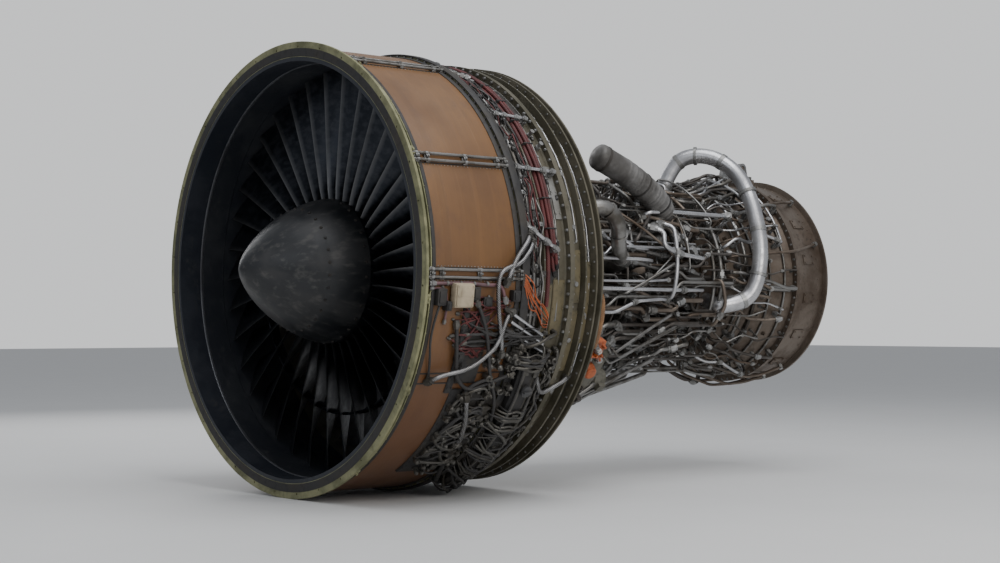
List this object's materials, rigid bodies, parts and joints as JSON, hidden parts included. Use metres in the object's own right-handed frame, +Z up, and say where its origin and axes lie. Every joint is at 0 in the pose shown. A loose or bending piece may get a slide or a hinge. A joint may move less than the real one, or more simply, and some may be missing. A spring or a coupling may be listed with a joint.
{
  "type": "jet engine",
  "caption": "Two-shaft turbofan jet engine without cowls: wrapped fan case, bladed fan, slim piped core with variable vanes, gearbox and accessories below.",
  "frame": {"origin": "centre of the fan case's front flange, on the shaft's axis", "axes": "+X runs aft along the shaft, +Z up, -Y is the engine's left side"},
  "size_m": [4.338, 2.6173, 2.5998],
  "materials": {
    "chromate_alloy": "mottled chromate finish",
    "dark_liner": "satin",
    "rub_coating": "matt",
    "resin_wrap": "glossy fibre resin",
    "case_alloy": "aged",
    "vane_alloy": "satin",
    "titanium": "satin",
    "spinner_paint": "satin",
    "steel": "satin",
    "hot_alloy": "heat-stained",
    "core_alloy": "oily",
    "gearbox_alloy": "cast",
    "orange_primer": "worn",
    "bright_tube": "polished",
    "lagging": "insulated",
    "tube_steel": "satin",
    "harness_sleeve": "woven",
    "box_paint": "satin",
    "dark_paint": "aged",
    "cap_plastic": "satin"
  },
  "bodies": {
    "casing": {"shaft_bearings": "steel", "fan_case": "chromate_alloy", "inlet_liner": "dark_liner", "rub_strip": "rub_coating", "fibre_wrap": "resin_wrap", "rear_fan_case": "case_alloy", "guide_vanes": "vane_alloy", "fan_frame": "case_alloy", "booster_case": "vane_alloy", "compressor_case_top": "core_alloy", "compressor_case_bottom": "core_alloy", "compressor_vanes": "titanium", "vane_levers": "steel", "vane_actuator_left": "steel", "vane_actuator_right": "steel", "combustor_case": "hot_alloy", "combustor_liner": "hot_alloy", "fuel_manifold": "tube_steel", "hpt_case": "hot_alloy", "lpt_case": "hot_alloy", "turbine_vanes": "hot_alloy", "turbine_cooling_tubes": "tube_steel", "turbine_rear_frame": "hot_alloy", "rear_cover": "hot_alloy", "front_mount": "steel", "rear_mount": "steel", "accessory_gearbox": "gearbox_alloy", "starter": "gearbox_alloy", "generator": "orange_primer", "hydraulic_pump": "gearbox_alloy", "fuel_pump": "gearbox_alloy", "oil_tank": "dark_paint", "control_unit": "box_paint", "ignition_boxes": "box_paint", "bleed_duct": "bright_tube", "insulated_duct": "lagging", "core_pipes": "tube_steel", "fan_case_pipes": "tube_steel", "wiring_harness": "harness_sleeve"},
    "fan_rotor": {"spinner_nose": "spinner_paint", "spinner_rear": "spinner_paint", "fan_disk": "titanium", "fan_blades": "titanium", "booster_spool": "titanium", "booster_blades": "titanium", "fan_shaft": "steel", "lpt_disks": "hot_alloy", "lpt_blades": "hot_alloy"},
    "core_rotor": {"compressor_spool": "titanium", "compressor_blades": "titanium", "hpt_rotor": "hot_alloy"},
    "ring_1": {"vane_ring_1": "steel"},
    "ring_2": {"vane_ring_2": "steel"},
    "ring_3": {"vane_ring_3": "steel"},
    "ring_4": {"vane_ring_4": "steel"},
    "lever_left": {"master_lever_left": "steel"},
    "lever_right": {"master_lever_right": "steel"},
    "rod_left": {"actuator_rod_left": "bright_tube"},
    "rod_right": {"actuator_rod_right": "bright_tube"},
    "filler_cap": {"oil_filler_cap": "cap_plastic"}
  },
  "joints": [
    {"name": "fan_spin", "type": "hinge", "parent": "casing", "child": "fan_rotor", "pos_m": [0.4, 0, 0], "axis": [1, 0, 0], "continuous": true},
    {"name": "core_spin", "type": "hinge", "parent": "casing", "child": "core_rotor", "pos_m": [1.9, 0, 0], "axis": [1, 0, 0], "continuous": true},
    {"name": "vane_ring_1_turn", "type": "hinge", "parent": "casing", "child": "ring_1", "pos_m": [1.592, 0, 0], "axis": [1, 0, 0], "range_deg": [-2.66, 2.66]},
    {"name": "vane_ring_2_turn", "type": "hinge", "parent": "casing", "child": "ring_2", "pos_m": [1.692, 0, 0], "axis": [1, 0, 0], "range_deg": [-1.97, 1.97]},
    {"name": "vane_ring_3_turn", "type": "hinge", "parent": "casing", "child": "ring_3", "pos_m": [1.792, 0, 0], "axis": [1, 0, 0], "range_deg": [-1.26, 1.26]},
    {"name": "vane_ring_4_turn", "type": "hinge", "parent": "casing", "child": "ring_4", "pos_m": [1.892, 0, 0], "axis": [1, 0, 0], "range_deg": [-0.56, 0.56]},
    {"name": "master_lever_left_turn", "type": "hinge", "parent": "casing", "child": "lever_left", "pos_m": [1.97, -0.5105, 0], "axis": [0, 1, 0], "range_deg": [-3.6, 3.6]},
    {"name": "actuator_rod_left_slide", "type": "slide", "parent": "casing", "child": "rod_left", "axis": [0, 0, 1], "range_m": [-0.0283, 0.0283]},
    {"name": "master_lever_right_turn", "type": "hinge", "parent": "casing", "child": "lever_right", "pos_m": [1.97, 0.5105, 0], "axis": [0, 1, 0], "range_deg": [-3.6, 3.6]},
    {"name": "actuator_rod_right_slide", "type": "slide", "parent": "casing", "child": "rod_right", "axis": [0, 0, 1], "range_m": [-0.0283, 0.0283]},
    {"name": "oil_filler_cap_turn", "type": "hinge", "parent": "casing", "child": "filler_cap", "pos_m": [0.788, -1.17113, -0.67615], "axis": [0, -0.866, -0.5], "range_deg": [0, 90]}
  ],
  "couplings": [
    {"joint": "vane_ring_2_turn", "follows": "vane_ring_1_turn", "ratio": 0.73545},
    {"joint": "vane_ring_3_turn", "follows": "vane_ring_1_turn", "ratio": 0.4709},
    {"joint": "vane_ring_4_turn", "follows": "vane_ring_1_turn", "ratio": 0.20635},
    {"joint": "master_lever_left_turn", "follows": "vane_ring_1_turn", "ratio": -1.3505},
    {"joint": "actuator_rod_left_slide", "follows": "vane_ring_1_turn", "m_per_rad": -0.60234},
    {"joint": "master_lever_right_turn", "follows": "vane_ring_1_turn", "ratio": 1.3505},
    {"joint": "actuator_rod_right_slide", "follows": "vane_ring_1_turn", "m_per_rad": 0.60234}
  ]
}
